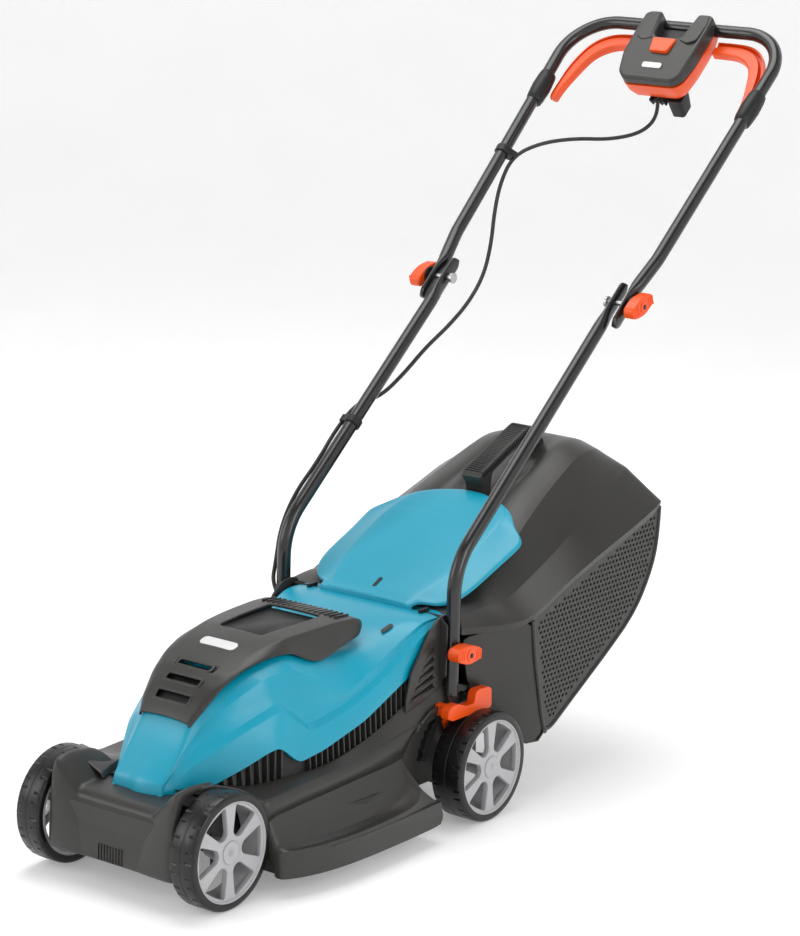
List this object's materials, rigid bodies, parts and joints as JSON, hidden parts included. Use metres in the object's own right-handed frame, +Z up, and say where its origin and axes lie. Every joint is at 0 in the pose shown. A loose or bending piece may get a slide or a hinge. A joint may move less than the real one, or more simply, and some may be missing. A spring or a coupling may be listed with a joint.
{
  "type": "electric lawn mower",
  "caption": "Corded rotary lawn mower: plastic deck and hood, tubular push handle, start bail, cutting height lever, rear flap and lift-off grass box.",
  "frame": {"origin": "on the ground under the middle of the bounding box", "axes": "+X to the side of the height lever, +Y back towards the person pushing, +Z up"},
  "size_m": [0.41, 1.3333, 1.0611],
  "materials": {
    "dark_plastic": "satin moulded",
    "hood_plastic": "satin moulded",
    "orange_plastic": "satin moulded",
    "black_tube": "gloss black",
    "steel": "brushed",
    "tyre_plastic": "hard black tread",
    "rim_plastic": "satin light grey",
    "badge": "pale gloss",
    "cable_rubber": "matt",
    "copper_stack": "laminated",
    "aluminium_part": "cast"
  },
  "bodies": {
    "mower_body": {"deck": "dark_plastic", "deck_nose": "dark_plastic", "deck_tail": "dark_plastic", "hood": "hood_plastic", "hood_cover": "dark_plastic", "hood_badge": "badge", "louvre_left": "dark_plastic", "louvre_right": "dark_plastic", "motor_can": "steel", "motor_mount": "aluminium_part", "stator": "copper_stack", "lower_tube_left": "black_tube", "lower_tube_right": "black_tube", "tube_bolts": "steel", "flap_rod": "dark_plastic", "cable_lower": "cable_rubber", "cable_loop": "cable_rubber"},
    "rotor": {"rotor_shaft": "steel", "rotor_core": "copper_stack", "blade_hub": "dark_plastic", "blade": "steel", "blade_bolt": "steel"},
    "front_axle": {"front_crank": "steel"},
    "rear_axle": {"rear_crank": "steel", "height_lever": "orange_plastic"},
    "link": {"link_rod": "steel"},
    "flap": {"rear_flap": "hood_plastic"},
    "grass_box": {"box_lid": "dark_plastic", "box_basket": "dark_plastic", "box_grip": "dark_plastic"},
    "handle": {"upper_handle": "black_tube", "collar_left": "dark_plastic", "collar_right": "dark_plastic", "switch_cover": "dark_plastic", "switch_base": "dark_plastic", "switch_badge": "badge", "plug_inlet": "dark_plastic", "cable_hook": "dark_plastic", "clip_upper": "dark_plastic", "cable_upper": "cable_rubber"},
    "bail": {"bail_left": "orange_plastic", "bail_right": "orange_plastic", "bail_bar": "orange_plastic"},
    "button": {"lock_button": "orange_plastic"},
    "fold_knob_left": {"fold_knob_left": "orange_plastic"},
    "fold_knob_right": {"fold_knob_right": "orange_plastic"},
    "foot_knob_left": {"foot_knob_left": "orange_plastic"},
    "foot_knob_right": {"foot_knob_right": "orange_plastic"},
    "wheel_front_left": {"tyre_front_left": "tyre_plastic", "rim_front_left": "rim_plastic", "hub_cap_front_left": "rim_plastic"},
    "wheel_front_right": {"tyre_front_right": "tyre_plastic", "rim_front_right": "rim_plastic", "hub_cap_front_right": "rim_plastic"},
    "wheel_rear_left": {"tyre_rear_left": "tyre_plastic", "rim_rear_left": "rim_plastic", "hub_cap_rear_left": "rim_plastic"},
    "wheel_rear_right": {"tyre_rear_right": "tyre_plastic", "rim_rear_right": "rim_plastic", "hub_cap_rear_right": "rim_plastic"}
  },
  "joints": [
    {"name": "blade_spin", "type": "hinge", "parent": "mower_body", "child": "rotor", "pos_m": [0, -0.328, 0.06], "axis": [0, 0, 1], "continuous": true},
    {"name": "cutting_height", "type": "hinge", "parent": "mower_body", "child": "rear_axle", "pos_m": [0, -0.04244, 0.05747], "axis": [1, 0, 0], "range_deg": [0, 39]},
    {"name": "front_height", "type": "hinge", "parent": "mower_body", "child": "front_axle", "pos_m": [0, -0.53344, 0.05747], "axis": [1, 0, 0], "range_deg": [0, 39]},
    {"name": "link_swing", "type": "hinge", "parent": "rear_axle", "child": "link", "pos_m": [0.1024, -0.04244, 0.10747], "axis": [1, 0, 0], "range_deg": [-39, 0]},
    {"name": "flap_hinge", "type": "hinge", "parent": "mower_body", "child": "flap", "pos_m": [0, -0.124, 0.283], "axis": [1, 0, 0], "range_deg": [0, 70]},
    {"name": "box_lift_off", "type": "slide", "parent": "mower_body", "child": "grass_box", "axis": [0, 0.9781, 0.2079], "range_m": [0, 0.35]},
    {"name": "handle_fold", "type": "hinge", "parent": "mower_body", "child": "handle", "pos_m": [0, 0.241, 0.677], "axis": [1, 0, 0], "range_deg": [0, 150], "deforming": ["cable_loop"]},
    {"name": "bail_squeeze", "type": "hinge", "parent": "handle", "child": "bail", "pos_m": [0, 0.53701, 0.92383], "axis": [1, 0, 0], "range_deg": [0, 6], "stiffness_Nm_per_rad": 2, "springref_deg": -11.46},
    {"name": "button_press", "type": "slide", "parent": "handle", "child": "button", "axis": [0, 0.6756, -0.7373], "range_m": [0, 0.003], "stiffness_N_per_m": 400, "springref_m": -0.002},
    {"name": "fold_knob_left_turn", "type": "hinge", "parent": "mower_body", "child": "fold_knob_left", "pos_m": [-0.19, 0.241, 0.677], "axis": [1, 0, 0], "continuous": true},
    {"name": "fold_knob_right_turn", "type": "hinge", "parent": "mower_body", "child": "fold_knob_right", "pos_m": [0.19, 0.241, 0.677], "axis": [1, 0, 0], "continuous": true},
    {"name": "foot_knob_left_turn", "type": "hinge", "parent": "mower_body", "child": "foot_knob_left", "pos_m": [-0.172, -0.128, 0.24], "axis": [1, 0, 0], "continuous": true},
    {"name": "foot_knob_right_turn", "type": "hinge", "parent": "mower_body", "child": "foot_knob_right", "pos_m": [0.172, -0.128, 0.24], "axis": [1, 0, 0], "continuous": true},
    {"name": "wheel_front_left_roll", "type": "hinge", "parent": "front_axle", "child": "wheel_front_left", "pos_m": [-0.13, -0.59, 0.0775], "axis": [1, 0, 0], "continuous": true},
    {"name": "wheel_front_right_roll", "type": "hinge", "parent": "front_axle", "child": "wheel_front_right", "pos_m": [0.13, -0.59, 0.0775], "axis": [1, 0, 0], "continuous": true},
    {"name": "wheel_rear_left_roll", "type": "hinge", "parent": "rear_axle", "child": "wheel_rear_left", "pos_m": [-0.18, -0.099, 0.0775], "axis": [1, 0, 0], "continuous": true},
    {"name": "wheel_rear_right_roll", "type": "hinge", "parent": "rear_axle", "child": "wheel_rear_right", "pos_m": [0.18, -0.099, 0.0775], "axis": [1, 0, 0], "continuous": true}
  ],
  "couplings": [
    {"joint": "front_height", "follows": "cutting_height", "ratio": 1},
    {"joint": "link_swing", "follows": "cutting_height", "ratio": -1}
  ]
}
